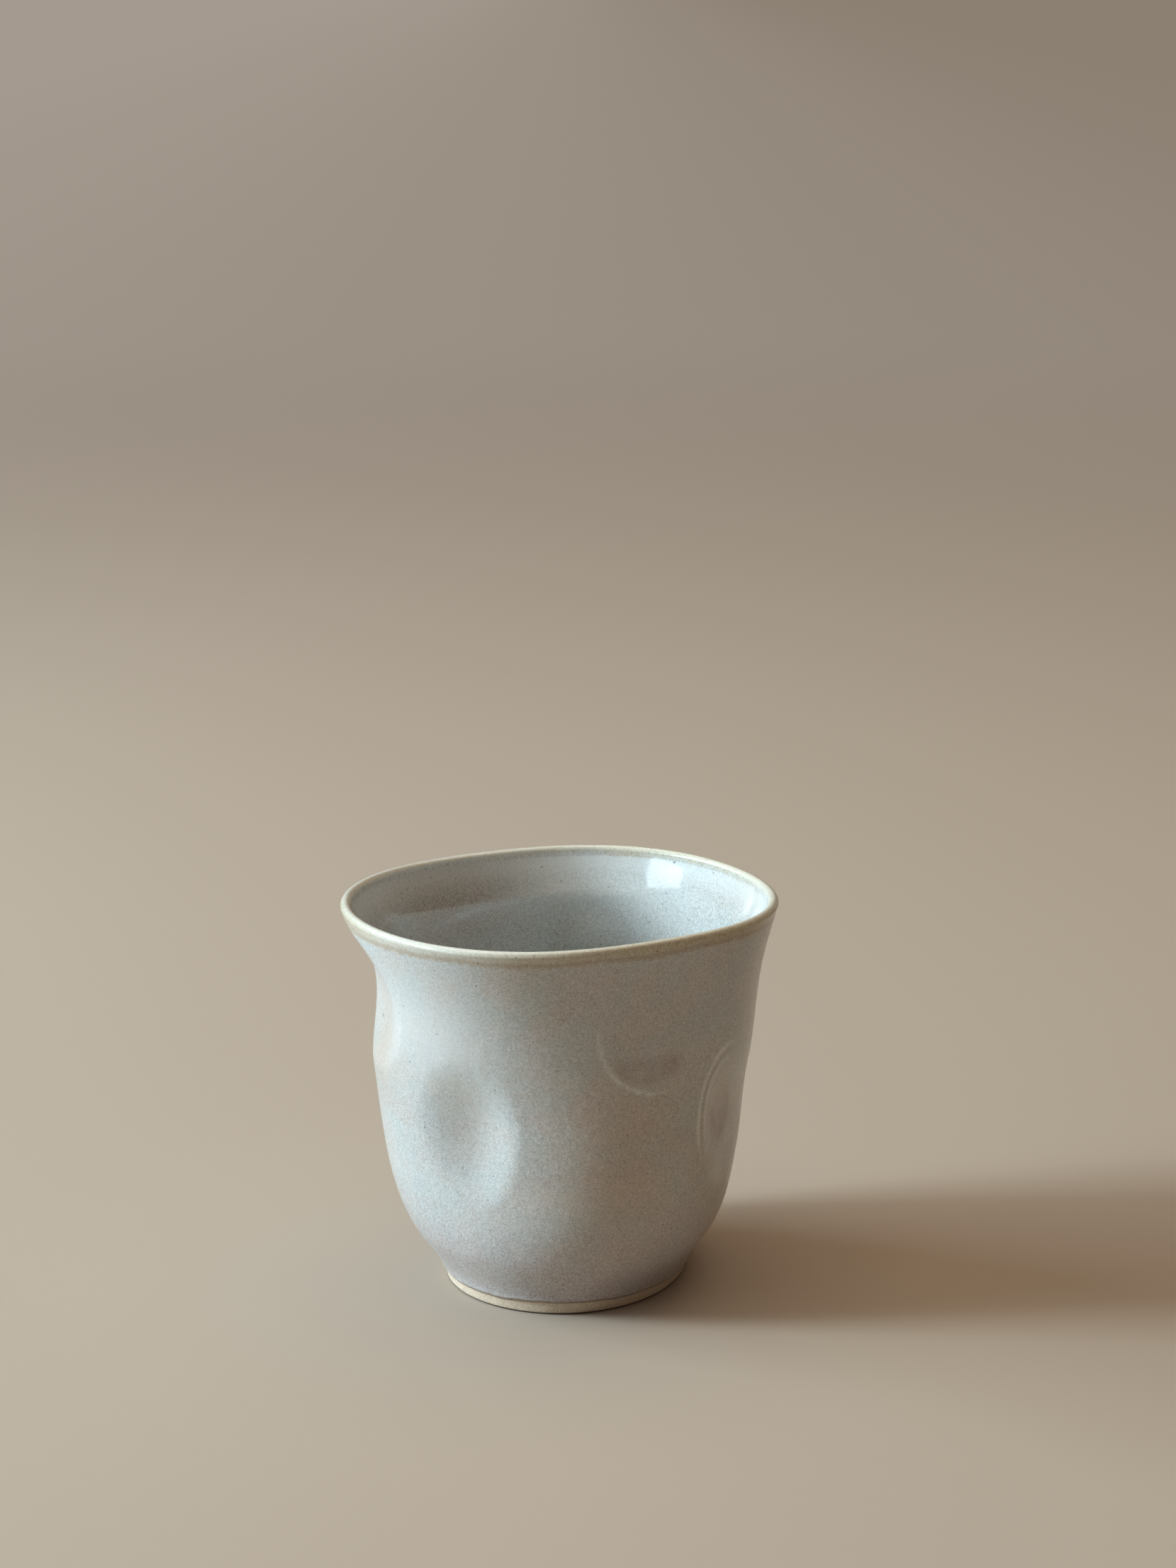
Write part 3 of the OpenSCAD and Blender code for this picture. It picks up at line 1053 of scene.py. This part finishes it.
    def build_coats(self) -> None:
        """Builds the satin coat outside, the glossy one inside and the ochre one on the lip."""
        coat, out, back = self.shape.coat, Side.OUTWARD, Side.REVERSED
        self.build_coat("outer_glaze", OUTER_FINISH, self.outer_skin(), self.outer_clay(back))
        self.build_coat("liner_glaze", LINER_FINISH, self.inner_sheet(0.0, SHOWN, out),
                        self.inner_sheet(coat, HIDDEN, back), floored=True)
        self.build_coat("lip_glaze", LIP_FINISH, self.lip_sheet(0.0, SHOWN, out),
                        self.lip_sheet(coat, HIDDEN, back))

    def foot_sheet(self) -> Sheet:
        """The underside from the middle of the recess to the bare band's upper edge.

        The lines of turning are turning times sin(2 pi r / turning_pitch) on the recess's floor.
        """
        shape, angle = self.shape, self.angle
        low, dish, none = shape.foot_edge, shape.dish_depth, 0 * angle
        rim, edge = shape.recess_width / 2, shape.outside(none, angle) - shape.coat - low
        inner = rim - shape.recess_depth
        share = column(FIRST_RING, 1, RECESS_ROWS)
        turned = shape.turning * np.sin(share * inner * FULL_TURN / shape.turning_pitch)
        slope = column(0, 1, SLOPE_ROWS)[1:]
        flat = column(0, 1, RING_ROWS)[1:]
        turn = column(0, math.pi / 2, EDGE_ROWS)[1:]
        rings = [
            (inner * share, dish + turned),
            (inner + (rim - inner) * slope, dish - dish * ease(slope)),
            (rim + (edge - rim) * flat, 0 * flat),
            (edge + low * np.sin(turn), low * (1 - np.cos(turn))),
        ]
        radius = np.concatenate([ring + none for ring, _ in rings])
        z = np.concatenate([rise + none for _, rise in rings])
        base = shape.leant(radius, angle, z, z)
        rise = low + (shape.bare_edge(angle) - low) * column(0, 1, BAND_ROWS)[1:-1]
        band = shape.wall_points(rise, angle, shape.coat)
        return Sheet(self.fitted(np.concatenate([base, band])), np.array(shape.height))

    def build_body(self) -> Object:
        """Builds the clay: foot, recess, wall under the glaze, lip and floor."""
        shape = self.shape
        mesh = MeshBuilder("stoneware_clay")
        sheets = (
            self.foot_sheet(), self.outer_clay(Side.OUTWARD),
            self.lip_sheet(shape.coat, HIDDEN, Side.OUTWARD).tail(),
            self.inner_sheet(shape.coat, HIDDEN, Side.OUTWARD).tail(),
        )
        rows = [mesh.sheet(sheet) for sheet in sheets]
        for below, above in zip(rows, rows[1:]):
            mesh.strip(below[-1], above[0])
        middle = np.array([[0.0, 0.0, shape.dish_depth]])
        mesh.pole(rows[0][0], middle, shape.height, False)
        mesh.pole(rows[-1][-1], self.floor_centre(shape.coat), -shape.height, True)
        return mesh.finish(ClayFinish().build(), "stoneware", ("stoneware_body",))


class Seen(Enum):
    """What a lamp acts on: everything, or all but gloss, or gloss alone."""

    EVERYWHERE = "everywhere"
    NOT_IN_GLOSS = "not in gloss"
    ONLY_IN_GLOSS = "only in gloss"


@dataclass(frozen=True)
class Lamp:
    """A soft rectangular lamp, in metres and watts, of the sky's colour by default."""

    name: str
    place: Triple
    size: tuple[float, float]
    power: float
    seen: Seen = Seen.NOT_IN_GLOSS
    target: Triple = (0, 0, 0.06)
    colour: Triple = (0.73, 0.91, 1.02)

    def build(self) -> None:
        """Adds the lamp, turned by the angles that point its -Z at the target."""
        data = bpy.data.lights.new(self.name, "AREA")
        data.shape = "RECTANGLE"
        data.size, data.size_y = self.size
        data.energy = self.power
        data.color = self.colour
        lamp = bpy.data.objects.new(self.name, data)
        lamp.location = self.place
        lamp.visible_glossy = self.seen is not Seen.NOT_IN_GLOSS
        lamp.visible_diffuse = self.seen is not Seen.ONLY_IN_GLOSS
        x, y, z = np.array(self.target) - np.array(self.place)
        lamp.rotation_euler = (math.atan2(math.hypot(x, y), -z), 0,
                               math.atan2(y, x) - math.pi / 2)
        bpy.context.scene.collection.objects.link(lamp)


# The window at the left, its side again as gloss sees it, and the ceiling.
LAMPS = (
    Lamp("wide_window", (-1.598, 0.14, 0.877), (1.36, 0.443), 26.8, Seen.EVERYWHERE),
    Lamp("bright_pane", (-1.642, -0.173, 0.778), (0.347, 0.667), 30.5),
    Lamp("side_pane", (-1.517, -0.773, 0.646), (0.912, 0.315), 2.2),
    Lamp("side_mirrored", (-1.49, -0.759, 0.635), (0.9, 0.31), 4.8, Seen.ONLY_IN_GLOSS),
    Lamp("ceiling", (0.2, 0.2, 2.0), (2.2, 2.2), 20.0, Seen.EVERYWHERE, (0.2, 0.2, 0),
         (1.0, 0.81, 0.61)),
)


@dataclass
class Studio:
    """The plain floor, the lamps, the dim room and the camera, in metres and degrees."""

    floor_reach: float = 30.0
    floor_colour: Screen = (181, 166, 150)
    floor_roughness: float = 0.85
    far_left: Screen = (164, 154, 143)
    far_right: Screen = (140, 128, 115)
    far_across: Span = Span(-1.2, 1.2)
    far_begins: Span = Span(0.25, 1.8)
    dim_colour: tuple[float, ...] = (1.0, 0.65, 0.40, 1.0)
    dim_strength: float = 0.08
    room_colour: tuple[float, ...] = (1.0, 0.97, 0.92, 1.0)
    room_strength: Span = Span(-0.55, -0.95, 0.22, 1.3)
    eye: Triple = (0.00443, -0.68161, 0.26849)
    pitch: float = 13.616
    focal_pixels: float = 4920.0
    image_height: int = 2212
    sensor: float = 36.0
    clip: tuple[float, float] = (0.01, 100)

    def build_floor(self) -> None:
        """A wide matt floor."""
        far = self.floor_reach
        mesh = bpy.data.meshes.new("floor")
        corners = [(-far, -far, 0), (far, -far, 0), (far, far, 0), (-far, far, 0)]
        mesh.from_pydata(corners, [], [(0, 1, 2, 3)])
        mesh.materials.append(self.floor_material())
        floor = bpy.data.objects.new("floor", mesh)
        bpy.context.scene.collection.objects.link(floor)

    def floor_material(self) -> Material:
        """A matt floor that turns into a plain backdrop far from the cup, painted lighter at the
        left.

        Only rays from the camera, from gloss and through glass see the backdrop's own colour, so
        it adds no light to the cup.

        Returns:
            The new material.
        """
        material, links, shader = new_material("matt_floor")
        links.feed(shader, {"Base Color": linear(self.floor_colour),
                            "Roughness": self.floor_roughness})
        # Painted light: the backdrop is lighter on the window's side, at the left.
        across = links.remap(links.coordinate("X"), self.far_across)
        far_colour = links.mix(across, linear(self.far_left), linear(self.far_right))
        backdrop = links.node("Emission", {"Color": far_colour})
        away = links.node("VectorMath", {0: links.place()}, operation="LENGTH")
        far = links.remap(away.outputs["Value"], self.far_begins)
        seen = links.seen_by("Is Camera Ray", "Is Glossy Ray", "Is Transmission Ray")
        both = links.mix_shaders(links.times(far, seen), shader.outputs["BSDF"],
                                 backdrop.outputs["Emission"])
        links.feed(material.node_tree.nodes["Material Output"], {"Surface": both})
        return material

    def build_lights(self) -> None:
        """The lamps, and a dim warm room that gloss sees brighter, most so behind the camera."""
        for lamp in LAMPS:
            lamp.build()
        world = bpy.data.worlds.new("room")
        world.use_nodes = True
        links = Links(world.node_tree)
        dim = world.node_tree.nodes["Background"]
        links.feed(dim, {"Color": self.dim_colour, "Strength": self.dim_strength})
        strength = links.remap(links.coordinate("Y"), self.room_strength)
        room = links.node("Background", {"Color": self.room_colour, "Strength": strength})
        both = links.mix_shaders(links.seen_by("Is Glossy Ray", "Is Transmission Ray"),
                                 dim.outputs[0], room.outputs[0])
        links.feed(world.node_tree.nodes["World Output"], {"Surface": both})
        bpy.context.scene.world = world

    def build_camera(self) -> None:
        """The camera at the photograph's place and angle."""
        data = bpy.data.cameras.new("camera")
        data.sensor_width = self.sensor
        data.lens = self.focal_pixels / self.image_height * self.sensor
        data.clip_start, data.clip_end = self.clip
        camera = bpy.data.objects.new("camera", data)
        camera.location = self.eye
        camera.rotation_euler = (math.radians(90 - self.pitch), 0, 0)
        bpy.context.scene.collection.objects.link(camera)
        bpy.context.scene.camera = camera


def main() -> None:
    """Builds the studio and the cup."""
    logging.basicConfig(level=logging.INFO, format="%(name)s: %(message)s")
    studio = Studio()
    studio.build_camera()
    studio.build_floor()
    studio.build_lights()
    cup = Cup()
    cup.build_body()
    cup.build_coats()
    bpy.context.scene.view_settings.view_transform = "Standard"


if __name__ == "__main__":
    main()
